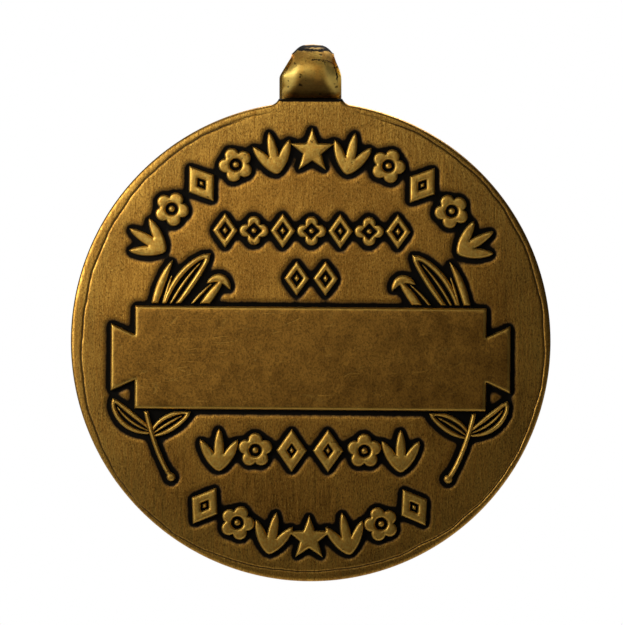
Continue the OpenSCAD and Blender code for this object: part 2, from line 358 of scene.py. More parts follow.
# %% [markdown]
# ## Ornaments
# Rows of palmettes, flowers, diamonds and stars run where a medal carries its legend. Bold
# strokes have a flat top between narrow shoulders. Fine strokes are hardly wider than their
# shoulders, so they come out nearly round.

# %% Ornaments on the reverse
for node in ("upper_arc_ornaments", "lower_arc_ornaments", "lower_row_ornaments"):
    pieces[node] = relief_piece(node, REVERSE, shoulder=0.15, crown=0.03, spacing=0.12)
for node in ("upper_row_ornaments", "centre_pair_ornaments"):
    pieces[node] = relief_piece(node, REVERSE, shoulder=0.13, crown=0.03, spacing=0.1)

# %% [markdown]
# ## Laurel sprigs
# The leaves are cut as plump bands with sunk middles and a hair-thin midrib. A wide shoulder
# and a high crown give each band its round back.

# %% Laurel
for node in sorted(nodes):
    if node.startswith(("upper_left", "upper_right", "lower_left", "lower_right")):
        pieces[node] = relief_piece(node, REVERSE, shoulder=0.17, crown=0.05, spacing=0.09)

# %% [markdown]
# ## Obverse relief
# The front of the medal carries a rim, a ring of beads, a wreath and a star. Beads are small
# domes, so their shoulder is as wide as their radius. The star is cut with a crown that rises
# all the way to its ridges.

# %% Relief on the obverse
pieces["obverse_rim"] = relief_piece(
    "obverse_rim", OBVERSE, shoulder=0.3, crown=0.02, spacing=0.4, border_step=0.25, start=0.3)
pieces["obverse_beads"] = relief_piece(
    "obverse_beads", OBVERSE, shoulder=0.38, crown=0.0, spacing=0.14, border_step=0.14, start=0.1)
for node in ("wreath_left_branch", "wreath_right_branch", "wreath_left_leaves",
             "wreath_right_leaves", "wreath_tie"):
    pieces[node] = relief_piece(node, OBVERSE, shoulder=0.2, crown=0.05, spacing=0.13,
                                border_step=0.09)
pieces["obverse_star"] = relief_piece(
    "obverse_star", OBVERSE, shoulder=1.9, crown=0.0, spacing=0.2, start=0.25)

# %% [markdown]
# ## The disc
# The field of a struck medal isn't flat: it dips where the metal was drawn up into the relief.
# Near the rim a fine wavy line runs around the reverse, where the metal flowed towards the
# collar and folded. Both are modelled, because they catch light and hold dark patina. The disc
# is filled with the same triangulation as the relief, with extra rows of points along the rim
# and along the wavy line.

# %% Outline of the disc
rim_random = np.random.default_rng(11)
disc_outline = resampled(outline_loops("planchet", REVERSE)[0], 0.13)
from_centre = disc_outline - [0, disc_z]
radius = np.linalg.norm(from_centre, axis=1)
on_circle = np.abs(radius - disc_r) < 0.03
disc_outline[on_circle] = [0, disc_z] + from_centre[on_circle] / radius[on_circle, None] * disc_r
BLANK_TURN = math.radians(0.5)


def turned_blank(x, z):
    """Turns points about the disc's centre, the way the blank sat a little askew in the die."""
    up = z - disc_z
    return (x * math.cos(BLANK_TURN) - up * math.sin(BLANK_TURN),
            disc_z + x * math.sin(BLANK_TURN) + up * math.cos(BLANK_TURN))


disc_outline = np.stack(turned_blank(*disc_outline.T), axis=1)
print(len(disc_outline), "points around the disc and its neck")

# %% The flow line near the rim
FLOW_INSET = 0.54


def flow_line_radius(angle):
    """Distance of the wavy line from the centre. The angle runs clockwise from the loop."""
    waves = 0.12 * np.sin(3 * angle - 0.95) + 0.1 * np.cos(4 * angle)
    waves -= 0.09 * np.sin(angle) + 0.08 * np.sin(2 * angle)
    ragged = np.array([
        noise.noise((9 * math.sin(a), 9 * math.cos(a), 5.2)) * 0.11
        + noise.noise((30 * math.sin(a), 30 * math.cos(a), 9.7)) * 0.04
        for a in angle])
    return disc_r - FLOW_INSET - waves + ragged


def flow_gap(points):
    """Distance in mm from the wavy line: negative outside it, towards the rim."""
    x, z = points[:, 0], points[:, 1] - disc_z
    return flow_line_radius(np.arctan2(x, z)) - np.hypot(x, z)


# %% [markdown]
# The dip and the line are functions of distance. A tree of all the relief's border points
# gives each field point its distance to the nearest raised work. The patina follows a second
# measure, the shelter: a brush is kept off the field by every wall within its reach, so two
# walls close together shelter more than one. Each border point adds a soft round blot to a
# map, and the map is scaled so that a single straight wall gives 1 at its foot.

# %% Shelter that the relief gives to the field
SHELTER_REACH = 0.35
MAP_CELL = 0.05
map_half = disc_r + 2
map_count = int(2 * map_half / MAP_CELL)


def shelter_map(borders):
    """Blurred length of border around each cell of a square map of the disc."""
    points = np.vstack(borders) - [0, disc_z]
    cells, _, _ = np.histogram2d(points[:, 0], points[:, 1], bins=map_count,
                                 range=[[-map_half, map_half]] * 2)
    wave = 2 * math.pi * np.fft.fftfreq(map_count, MAP_CELL)
    blur = np.exp(-(SHELTER_REACH * wave) ** 2 / 4)
    spread = np.fft.ifft2(np.fft.fft2(cells) * blur[:, None] * blur[None, :]).real
    return spread * FINE_STEP / MAP_CELL ** 2 * math.sqrt(math.pi) * SHELTER_REACH


def shelter_at(shelter, points):
    """The map's value at each point, blended between the four nearest cells."""
    place = (points - [0, disc_z] + map_half) / MAP_CELL - 0.5
    cell = place.astype(int)
    share = place - cell
    total = 0
    for i, j in ((0, 0), (1, 0), (0, 1), (1, 1)):
        weight = (share[:, 0] if i else 1 - share[:, 0]) * (share[:, 1] if j else 1 - share[:, 1])
        total = total + weight * shelter[cell[:, 0] + i, cell[:, 1] + j]
    return total


# %% Height of the reverse and of the obverse field
DIP_DEPTH = 0.1
LINE_DEPTH = 0.07
LINE_HALF_WIDTH = 0.055
OUTSIDE_DEPTH = 0.015
FIELD_RIPPLE = 0.006
NO_LINE = 9.0


def smooth_step(value, low, high):
    """From 0 at low to 1 at high, without a corner at either end."""
    t = np.clip((value - low) / (high - low), 0, 1)
    return t * t * (3 - 2 * t)


def field_measures(points, facing, rim_tree):
    """Shelter of field points, and their distances to the flow line and the disc's outline.

    The obverse has no flow line, so its points are all said to be far away from one.
    """
    shelter = shelter_at(shelter_map(relief_borders[facing]), points)
    to_line = flow_gap(points) if facing == REVERSE else np.full(len(points), NO_LINE)
    return shelter, to_line, distance_to(rim_tree, points)


def near_neck(points):
    """From 0 to 1 where the disc runs up to its neck. The flow line fades out there."""
    return smooth_step(points[:, 1] - disc_z, 0.9 * disc_r, 0.96 * disc_r)


def field_depth(points, shelter, to_line, facing):
    """How far each field point lies below the level of the CAD's field, in mm."""
    dip = DIP_DEPTH * smooth_step(shelter, 0, 0.8)
    clear = 1 - near_neck(points)
    line = LINE_DEPTH * np.exp(-(to_line / LINE_HALF_WIDTH) ** 2) * clear
    outside = OUTSIDE_DEPTH * smooth_step(-to_line, 0, 0.3) * (facing == REVERSE) * clear
    ripple = FIELD_RIPPLE * uneven(points, 1.6, 8.8)
    return dip + line + outside + ripple


# %% [markdown]
# The rim of the reverse rounds over by about a quarter of a millimetre. The obverse keeps a
# sharp corner, because the raised rim covers it. The loop's tip comes down on the neck, and
# the shelter is raised along the seam between them, which darkens it: painted shadow under
# the flap's tip, with patina in the seam.

# %% Reverse face, side and obverse face
EDGE_ROUND = 0.22
EDGE_STEPS = (0.05, 0.13, 0.28)
LINE_STEPS = (-0.13, -0.07, -0.03, 0, 0.03, 0.07, 0.13)
SEAM_SHADOW_REACH = 0.24
outline_in = inward(disc_outline)
neck_top = disc_outline[:, 1].max()
rim_tree = point_tree(disc_outline)
edge_rows = [disc_outline + d * outline_in for d in EDGE_STEPS]
line_rows = []
line_angles = np.linspace(0, 2 * math.pi, 1000, endpoint=False)
for offset in LINE_STEPS:
    r = flow_line_radius(line_angles) + offset
    row = np.stack([r * np.sin(line_angles), disc_z + r * np.cos(line_angles)], axis=1)
    line_rows.append(row[distance_to(rim_tree, row) > 0.3])


def disc_face(facing, spacing, rows, clear_of_line):
    """Points of one face of the disc with their depth and measures, and its triangles."""
    grid = loose_grid([disc_outline], spacing, rim_random)
    grid = grid[distance_to(rim_tree, grid) > EDGE_STEPS[-1] + 0.08]
    if clear_of_line:
        grid = grid[np.abs(flow_gap(grid)) > LINE_STEPS[-1] + 0.04]
    flat, triangles, place = triangulated([disc_outline], np.vstack([*rows, grid]))
    shelter, to_line, to_rim = field_measures(flat, facing, rim_tree)
    depth = field_depth(flat, shelter, to_line, facing)
    line_gap = np.abs(to_line) + 0.4 * near_neck(flat)
    if facing == REVERSE:
        # painted shadow under the loop's flap: the shelter, and with it the dark halo, rises along
        # the neck's top edge
        shelter += smooth_step(flat[:, 1], neck_top - SEAM_SHADOW_REACH, neck_top - SEAM_SHADOW_REACH / 2)
    return flat, triangles, place, depth, (shelter, line_gap, to_rim)


back, back_triangles, back_place, back_depth, back_measures = disc_face(
    REVERSE, 0.155, edge_rows + line_rows, clear_of_line=True)
back_depth += EDGE_ROUND * (1 - rounded_rise(back_measures[2], EDGE_ROUND))
front, front_triangles, front_place, front_depth, front_measures = disc_face(
    OBVERSE, 0.26, edge_rows[-1:], clear_of_line=False)
front_depth[front_place] = 0
print(len(back), "points on the reverse and", len(front), "on the obverse")

# %% [markdown]
# The two faces are joined by the side, with a few rings between them so that the side can
# bulge very slightly, as a blank does when it is squeezed in its collar.

# %% The disc as one mesh
SIDE_RINGS = 5
SIDE_BULGE = 0.015
rings = []
for t in np.linspace(0, 1, SIDE_RINGS + 2)[1:-1]:
    y = (REVERSE * (half_t - EDGE_ROUND)) * (1 - t) + OBVERSE * half_t * t
    ring = disc_outline - SIDE_BULGE * math.sin(math.pi * t) * outline_in
    rings.append(np.column_stack([ring[:, 0], np.full(len(ring), y), ring[:, 1]]))
disc_points = np.vstack([
    np.column_stack([back[:, 0], REVERSE * (half_t - back_depth), back[:, 1]]),
    np.column_stack([front[:, 0], OBVERSE * (half_t - front_depth), front[:, 1]]),
    *rings,
])
border_count = len(disc_outline)
first_ring = len(back) + len(front)
levels = [back_place] + [first_ring + k * border_count + np.arange(border_count)
                         for k in range(SIDE_RINGS)] + [front_place + len(back)]
disc_faces = list(outward_faces(back_triangles, REVERSE))
disc_faces += list(outward_faces(front_triangles + len(back), OBVERSE))
for upper, lower in zip(levels, levels[1:]):
    disc_faces += wall_faces([disc_outline], upper, lower, REVERSE)
side_count = SIDE_RINGS * border_count
# the side lies open at the rim, well away from the flow line
disc_measures = {
    name: np.concatenate([b, f, np.full(side_count, side)])
    for name, b, f, side in zip(("shelter", "line_gap", "rim_gap"),
                                back_measures, front_measures, (0.0, 0.6, 0.0))}
pieces["planchet"] = make_piece("planchet", disc_points, disc_faces, disc_measures)

# %% [markdown]
# ## The rolled loop
# The loop is the tongue of the blank, thinned, bent forward over a rod and pressed down until
# its tip nearly meets the neck. It is made as a strip with a rounded cross-section that sweeps
# around the bore. Its width changes on the way: full at the root, narrow over the top and wide
# again on the flap in front.

# %% Path of the strip
bore_r = frame["record"]["mounts"][0]["dims"]["r_mm"]
loop_low, loop_high = box_mm("suspension_loop")
roll_r = loop_high[2]
tab_half_w = (loop_high[0] - loop_low[0]) / 2
tab_t = roll_r - bore_r
mid_r = (roll_r + bore_r) / 2
PATH_STEPS = 130
ROOT_ANGLE = -62
TIP_ANGLE = 271
TOP_SHARE = 0.68
TOP_ASIDE = 0.17


def strip_sides(angle):
    """Middle and half width of the strip at an angle about the bore.

    0 is the strip's back, 90 its top and 180 the middle of the flap in front. The strip was
    bent a little askew, so its middle wanders off the medal's own.
    """
    height = smooth_step(math.sin(math.radians(angle)), -0.35, 0.95)
    wide, aside = (1.01 * tab_half_w, -0.01) if angle < 90 else (0.96 * tab_half_w, 0.08)
    narrow = TOP_SHARE * tab_half_w
    return aside + (TOP_ASIDE - aside) * height, wide + (narrow - wide) * height


print(f"roll {2 * roll_r:.1f} mm across, strip {tab_t:.2f} mm thick")


# %% [markdown]
# Three things shape the strip's outer side. Over the top it domes, because the edges of a bent
# strip draw in. The flap has a flat middle that widens downwards between two bevels, where the
# pliers held it. Its tip is a little thinner than the rest.

# %% Cross-section of the strip
RING_STEPS = 64
SECTION_POWER = 6
DOME = 0.2
BEVEL = 0.5
FLAT = 0.27
CROWN = 0.06


def drawn_in(angle, x, across):
    """How much nearer to the bore the outer side lies than on a plain roll, in mm."""
    in_front = smooth_step(angle, 130, 200)
    dome = DOME * abs(x) ** 3.1 * smooth_step(angle, 20, 80) * (1 - in_front)
    crown = CROWN * smooth_step(angle, 40, 85) * (1 - smooth_step(angle, 110, 150))
    start = 0.5 + 0.36 * smooth_step(angle, 185, 258)
    depth = BEVEL * (1 - 0.75 * smooth_step(angle, 225, 268))
    bevel = depth * in_front * max(0, (abs(across) - start) / (1 - start)) ** 1.3
    flat = FLAT * smooth_step(angle, 165, 228) * (1 - smooth_step(angle, 228, 268))
    return dome - crown + bevel + flat


def strip_ring(angle, drop):
    """One ring of the strip. drop moves the root's rings straight down into the neck."""
    a = math.radians(angle)
    middle, half_w = strip_sides(angle)
    tip = smooth_step(angle, TIP_ANGLE - 7, TIP_ANGLE)
    ring = []
    for k in range(RING_STEPS):
        turn = 2 * math.pi * k / RING_STEPS
        c, s = math.cos(turn), math.sin(turn)
        across = math.copysign(abs(c) ** (2 / SECTION_POWER), c)
        deep = math.copysign(abs(s) ** (2 / SECTION_POWER), s)
        x = half_w * across * (1 - 0.03 * tip)
        r = mid_r + deep * tab_t / 2 * (1 - 0.2 * tip)
        r -= drawn_in(angle, x, across) * max(deep, 0)
        ring.append((middle + x, r * math.cos(a), r * math.sin(a) - drop, across, deep))
    return ring


# %% The loop as one mesh
ROOT_LENGTH = 1.1
BUMP_DEPTH = 0.03
root_drop = np.linspace(ROOT_LENGTH, 0, 8)[:-1]
angles = np.linspace(ROOT_ANGLE, TIP_ANGLE, PATH_STEPS)
strip = [strip_ring(ROOT_ANGLE, drop) for drop in root_drop]
strip += [strip_ring(angle, 0) for angle in angles]
strip_angles = np.concatenate([np.full(len(root_drop), ROOT_ANGLE), angles])
strip = np.array(strip)
ring_total = len(strip)
loop_points = strip[:, :, :3].reshape(-1, 3)
bumps = np.array([noise.noise(Vector(p) * 1.3) + 0.5 * noise.noise(Vector(p) * 3.7)
                  for p in loop_points])
outer_side = np.clip(strip[:, :, 4].reshape(-1), 0, 1)
radial = loop_points * [0, 1, 1]
radial /= np.linalg.norm(radial, axis=1)[:, None] + 1e-9
loop_points = loop_points + radial * (BUMP_DEPTH * bumps * outer_side)[:, None]
loop_points[:, 0], loop_points[:, 2] = turned_blank(loop_points[:, 0], loop_points[:, 2])
loop_faces = []
for i in range(ring_total - 1):
    for k in range(RING_STEPS):
        m = (k + 1) % RING_STEPS
        loop_faces.append([i * RING_STEPS + k, (i + 1) * RING_STEPS + k,
                           (i + 1) * RING_STEPS + m, i * RING_STEPS + m])
root_middle = loop_points[:RING_STEPS].mean(axis=0)
tip_middle = loop_points[-RING_STEPS:].mean(axis=0)
loop_points = np.vstack([loop_points, root_middle, tip_middle])
root_at, tip_at = len(loop_points) - 2, len(loop_points) - 1
last = (ring_total - 1) * RING_STEPS
for k in range(RING_STEPS):
    m = (k + 1) % RING_STEPS
    loop_faces.append([root_at, k, m])
    loop_faces.append([tip_at, last + m, last + k])
across = np.append(strip[:, :, 3].reshape(-1), [0, 0])
deep = np.append(strip[:, :, 4].reshape(-1), [0, 0])
turned = np.append(np.repeat(strip_angles, RING_STEPS), [ROOT_ANGLE, TIP_ANGLE])
pieces["suspension_loop"] = make_piece(
    "suspension_loop", loop_points, loop_faces,
    {"turned": turned, "across": across, "deep": deep})

# %% [markdown]
# ## Colours and nodes
# The finishes are antique bronze: the medal is struck, darkened all over in a sulphide bath,
# and then brushed, so that the bright metal returns wherever the brush reaches. Colours are
# written as sRGB hex, the way a colour picker shows them, and turned to the linear values that
# the renderer works with.

# %% Colour and node helpers


def colour(code):
    """Linear RGBA of an sRGB hex code such as #8A6A2C."""
    parts = [int(code[i:i + 2], 16) / 255 for i in (1, 3, 5)]
    return tuple(p / 12.92 if p <= 0.04045 else ((p + 0.055) / 1.055) ** 2.4 for p in parts) + (1,)


def add(tree, kind, inputs=None, **settings):
    """Adds a node with its settings, and fills its inputs with values or links."""
    node = tree.nodes.new(kind)
    for key, value in settings.items():
        setattr(node, key, value)
    for key, value in (inputs or {}).items():
        if isinstance(value, bpy.types.NodeSocket):
            tree.links.new(value, node.inputs[key])
        else:
            node.inputs[key].default_value = value
    return node


def new_material(name):
    material = bpy.data.materials.new(name)
    material.use_nodes = True
    material.node_tree.nodes.clear()
    return material, material.node_tree


def combine(tree, operation, a, b):
    return add(tree, "ShaderNodeMath", {0: a, 1: b}, operation=operation).outputs[0]


def ramp_between(tree, value, low, high, start=0.0, end=1.0):
    """A smooth ramp from start at low to end at high."""
    return add(tree, "ShaderNodeMapRange",
               {"Value": value, "From Min": low, "From Max": high, "To Min": start, "To Max": end},
               interpolation_type="SMOOTHSTEP").outputs[0]


def product(tree, *values):
    result = values[0]
    for value in values[1:]:
        result = combine(tree, "MULTIPLY", result, value)
    return result


def band(tree, value, middle, half_width):
    """1 where value is near middle, falling to 0 at half_width from it."""
    off = combine(tree, "ABSOLUTE", combine(tree, "SUBTRACT", value, middle), 0.0)
    return ramp_between(tree, off, 0.3 * half_width, half_width, 1.0, 0.0)


def mixed(tree, factor, a, b):
    """Colour a where factor is 0 and colour b where it is 1."""
    return add(tree, "ShaderNodeMix", {0: factor, 6: a, 7: b}, data_type="RGBA").outputs[2]


def measure(tree, name):
    """A distance that was stored on the mesh, by its name."""
    return add(tree, "ShaderNodeAttribute", attribute_name=name).outputs["Fac"]


def stretched_noise(tree, per_mm, detail=3.0, roughness=0.55, seed=(0, 0, 0)):
    """Noise with the given number of features per mm along X, Y and Z."""
    where = add(tree, "ShaderNodeTexCoord").outputs["Object"]
    scaled = add(tree, "ShaderNodeMapping",
                 {"Vector": where, "Location": seed,
                  "Scale": tuple(1000 * value for value in per_mm)}).outputs[0]
    return add(tree, "ShaderNodeTexNoise",
               {"Vector": scaled, "Scale": 1.0, "Detail": detail,
                "Roughness": roughness}).outputs["Fac"]


def bronze_surface(tree, shade, oxide, roughness, height, bump_mm):
    """Bronze of the given shade under a dull black sulphide wherever oxide is 1."""
    bump = add(tree, "ShaderNodeBump",
               {"Height": height, "Distance": bump_mm * MM, "Strength": 1.0})
    base = mixed(tree, oxide, shade, OXIDE)
    shader = add(tree, "ShaderNodeBsdfPrincipled",
                 {"Base Color": base, "Normal": bump.outputs[0],
                  "Roughness": combine(tree, "ADD", roughness, product(tree, oxide, 0.2)),
                  "Metallic": combine(tree, "SUBTRACT", 1.0, product(tree, oxide, 0.9)),
                  "Specular IOR Level": ramp_between(tree, oxide, 0.0, 1.0, 0.5, 0.06)})
    add(tree, "ShaderNodeOutputMaterial", {"Surface": shader.outputs[0]})


# %% [markdown]
# ## Palette of antique bronze
# All the finishes are made of the same few tones. The more a place was rubbed, the paler and
# yellower its bronze is. The thinner the sulphide lies, the browner it looks.

# %% Palette
BRONZE = colour("#C6903A")        # brushed once: a warm brown gold
BRONZE_SHADE = colour("#9D6D29")  # brushed less: the same gold under a thin brown film
# WORN is also used as a painted highlight where it brightens the field towards its rim
WORN = colour("#D8B255")          # rubbed by handling: paler and yellower
# on the loop's flanks this pale tone is also a painted highlight over the polished metal
POLISHED_HIGHLIGHT = colour("#EBCF72")      # polished by the ring: nearly bright metal
OXIDE = colour("#0B0804")         # thick sulphide: a dull, warm black
# OXIDE_BROWN also serves as painted shade on the lower facet of the loop's flap
OXIDE_BROWN = colour("#4A3216")   # thin sulphide: dark brown
print("six tones, from polished bronze to black sulphide")

# %% [markdown]
# ## Finish of the field
# The field is relieved bronze, brushed up and down with a fine wheel. That leaves streaks about
# a fifth of a millimetre wide and several millimetres long, which show as changes in colour and
# gloss. Towards the rim the bronze is painted paler and yellower: handling wear, and a painted
# highlight for the light that the edge catches. The brush can't reach the dips around the
# relief, so the sulphide stays there as a near-black halo with a soft, ragged border.

# %% Brushed field


def brushed_field():
    material, tree = new_material("relieved_brushed_bronze")
    streaks = stretched_noise(tree, (6.5, 1.0, 0.5), detail=3.0, roughness=0.7)
    grit = stretched_noise(tree, (11.0, 11.0, 6.0), detail=2.0, roughness=0.7, seed=(4, 0, 2))
    blotches = stretched_noise(tree, (0.3, 0.3, 0.2), detail=4.0, seed=(9, 1, 3))
    ragged = stretched_noise(tree, (2.2, 2.2, 1.6), detail=5.0, roughness=0.65, seed=(3, 7, 1))
    shade = mixed(tree, ramp_between(tree, blotches, 0.32, 0.7), BRONZE_SHADE, BRONZE)
    # painted highlight along the rim, with handling wear: the field turns paler within 4 mm of the
    # edge
    paled = ramp_between(tree, measure(tree, "rim_gap"), 0.0, 4.0, 0.25, 0.0)
    shade = mixed(tree, paled, shade, WORN)
    shade = mixed(tree, ramp_between(tree, streaks, 0.38, 0.64, 0.0, 0.8), shade, BRONZE_SHADE)
    shade = mixed(tree, ramp_between(tree, grit, 0.28, 0.46, 0.45, 0.0), shade, WORN)
    shade = mixed(tree, ramp_between(tree, grit, 0.46, 0.72, 0.0, 0.75), shade, OXIDE_BROWN)
    shelter = combine(tree, "ADD", measure(tree, "shelter"),
                      ramp_between(tree, ragged, 0.25, 0.75, -0.08, 0.08))
    # the halo is sulphide in the dips around the relief; along the neck's top edge it is also
    # painted shadow under the flap
    halo = ramp_between(tree, shelter, 0.11, 0.5)
    warm = ramp_between(tree, shelter, 0.05, 0.4, 0.0, 0.25)
    line = ramp_between(tree, measure(tree, "line_gap"), 0.015, 0.075, 0.85, 0.0)
    shade = mixed(tree, warm, shade, OXIDE_BROWN)
    oxide = combine(tree, "MAXIMUM", halo, line)
    roughness = ramp_between(tree, streaks, 0.3, 0.7, 0.36, 0.5)
    height = combine(tree, "ADD", streaks, product(tree, grit, 0.6))
    bronze_surface(tree, shade, oxide, roughness, height, 0.012)
    return material


# %% [markdown]
# ## Finish of the relief
# Raised work is rubbed most. Its edges come out bright, its tops satin with traces of patina
# left in small pits, and its walls stay dark. The stored distance from the edge drives all
# three.

# %% Worn relief


def worn_relief(name, edge_mm, top_patina, speckle):
    """Relief finish. edge_mm is how wide the bright edge is, the other two run from 0 to 1."""
    material, tree = new_material(name)
    gap = measure(tree, "edge_gap")
    mottle = stretched_noise(tree, (1.4, 1.4, 1.2), detail=5.0, roughness=0.65, seed=(2, 5, 8))
    grain = stretched_noise(tree, (7.0, 7.0, 5.0), detail=3.0, roughness=0.6, seed=(6, 1, 4))
    pits = ramp_between(tree, stretched_noise(tree, (3.6, 3.6, 3.6), detail=2.0, seed=(1, 9, 5)),
                        0.66, 0.74, 0.0, speckle)
    paled = mixed(tree, ramp_between(tree, grain, 0.34, 0.7), BRONZE, WORN)
    patina = ramp_between(tree, mottle, 0.3, 0.75, 0.0, top_patina)
    shade = mixed(tree, patina, paled, OXIDE_BROWN)
    bright = ramp_between(tree, gap, 0.4 * edge_mm, 2.2 * edge_mm, 0.35, 0.0)
    shade = mixed(tree, bright, shade, WORN)
    shade = mixed(tree, pits, shade, OXIDE_BROWN)
    wall = ramp_between(tree, gap, -0.1, 0.03, 1.0, 0.0)
    roughness = ramp_between(tree, mottle, 0.3, 0.7, 0.42, 0.54)
    height = combine(tree, "SUBTRACT", product(tree, grain, 0.6),
                     product(tree, pits, 0.6))
    bronze_surface(tree, shade, wall, roughness, height, 0.012)
    return material


# %% [markdown]
# ## Finish of the name panel
# The panel is rubbed like the relief, but it is large and flat, so its handling marks show:
# a soft mottle, fine scratches in every direction and a few pale specks.

# %% Scratched panel


def hair_scratches(tree, per_mm, turn, seed):
    """Thin lines: the borders of long narrow cells, broken up by a slow noise."""
    where = add(tree, "ShaderNodeTexCoord").outputs["Object"]
    turned_to = add(tree, "ShaderNodeMapping",
                    {"Vector": where, "Location": seed, "Rotation": (0, turn, 0),
                     "Scale": tuple(1000 * value for value in per_mm)}).outputs[0]
    cells = add(tree, "ShaderNodeTexVoronoi", {"Vector": turned_to, "Scale": 1.0},
                feature="DISTANCE_TO_EDGE").outputs["Distance"]
    broken = ramp_between(tree, stretched_noise(tree, (0.9, 0.9, 0.9), seed=seed), 0.55, 0.66)
    return combine(tree, "MULTIPLY", ramp_between(tree, cells, 0.0, 0.03, 1.0, 0.0), broken)


def handled_panel():
    material, tree = new_material("handled_satin_bronze")
    gap = measure(tree, "edge_gap")
    mottle = stretched_noise(tree, (0.8, 0.8, 0.6), detail=6.0, roughness=0.68, seed=(3, 2, 6))
    grain = stretched_noise(tree, (9.0, 9.0, 7.0), detail=3.0, roughness=0.7, seed=(7, 3, 2))
    specks = ramp_between(tree, stretched_noise(tree, (2.6, 2.6, 2.6), detail=1.0, seed=(5, 5, 1)),
                          0.74, 0.8)
    scratches = combine(tree, "MAXIMUM",
                        hair_scratches(tree, (0.16, 1.0, 1.1), 0.7, (3, 0, 1)),
                        hair_scratches(tree, (0.2, 1.0, 1.3), -0.9, (8, 0, 4)))
    shade = mixed(tree, ramp_between(tree, mottle, 0.25, 0.75, 0.1, 0.6), BRONZE_SHADE, BRONZE)
    shade = mixed(tree, ramp_between(tree, grain, 0.35, 0.72, 0.15, 0.75), shade, OXIDE_BROWN)
    marks = combine(tree, "MAXIMUM", product(tree, scratches, 0.5), specks)
    shade = mixed(tree, product(tree, marks, 0.25), shade, WORN)
    bright = ramp_between(tree, gap, 0.06, 0.3, 0.5, 0.0)
    shade = mixed(tree, bright, shade, WORN)
    wall = ramp_between(tree, gap, -0.1, 0.03, 1.0, 0.0)
    roughness = ramp_between(tree, mottle, 0.3, 0.7, 0.38, 0.5)
    height = combine(tree, "SUBTRACT", product(tree, grain, 0.6),
                     product(tree, scratches, 0.4))
    bronze_surface(tree, shade, wall, roughness, height, 0.01)
    return material


# %% [markdown]
# ## Finish of the loop
# The loop was bent after the bath, so the sulphide cracked off its stretched outer side and
# stayed where the strip turns over the top. The lower facet of the flap, where it turns under,
# is darkened brown: sulphide left in the shade there, and painted shade. Its two edges are pale:
# polished metal where the ribbon's ring and the fingers rub, brightened further as a painted
# highlight. Each mark is placed by two stored measures: the angle about the bore in degrees,
# where 90 is the top and 180 the middle of the flap, and the place across the strip, from -1
# to 1.

# %% Patina and rubbed places of the loop


def cracked_patina(tree, turned, side, off_middle, place, jitter):
    """Where black sulphide is left on the loop, and where it is cracked, from 0 to 1."""
    bowed = combine(tree, "ADD", place, product(tree, off_middle, off_middle, 26.0))
    worn_strip = product(tree, band(tree, bowed, 124.0, 5.0), band(tree, side, 0.1, 0.55), 0.6)
    crescent = product(tree, ramp_between(tree, bowed, 99, 104),
                       ramp_between(tree, bowed, 131, 137, 1.0, 0.0),
                       combine(tree, "SUBTRACT", 1.0, worn_strip))
    cross_crack = product(tree, band(tree, combine(
        tree, "ADD", turned, product(tree, jitter, 2.0)), 155.0, 1.7),
        ramp_between(tree, side, -0.12, 0.0), ramp_between(tree, side, 0.84, 0.88, 1.0, 0.0))
    down_crack = product(tree, band(tree, combine(
        tree, "ADD", side, product(tree, jitter, 0.02)), 0.86, 0.035),
        ramp_between(tree, turned, 152, 156), ramp_between(tree, turned, 196, 222, 1.0, 0.0))
    crack = combine(tree, "MAXIMUM", cross_crack, down_crack)
    inner = ramp_between(tree, measure(tree, "deep"), -0.98, -0.85, 1.0, 0.0)
    root = product(tree, ramp_between(tree, turned, 10, 60, 0.85, 0.0),
                   ramp_between(tree, side, -0.93, -0.86, 1.0, 0.0))
    black = combine(tree, "MAXIMUM", combine(tree, "MAXIMUM", crescent, inner),
                    combine(tree, "MAXIMUM", crack, root))
    return black, crack


def flap_areas(tree, turned, off_middle, place):
    """The flap's two flanks, polished and with a painted highlight, and the facet between them,
    with sulphide and painted shade, from 0 to 1.
    """
    spread = ramp_between(tree, turned, 180, 262, -0.22, 0.1)
    from_facet = combine(tree, "SUBTRACT", off_middle, spread)
    lit_polished_flank = product(tree, ramp_between(tree, from_facet, 0.58, 0.82),
                    ramp_between(tree, turned, 150, 180))
    shaded_facet = product(tree, ramp_between(tree, place, 176, 208),
                    ramp_between(tree, from_facet, 0.5, 0.76, 1.0, 0.0))
    return lit_polished_flank, shaded_facet


# %% Bent and rubbed loop


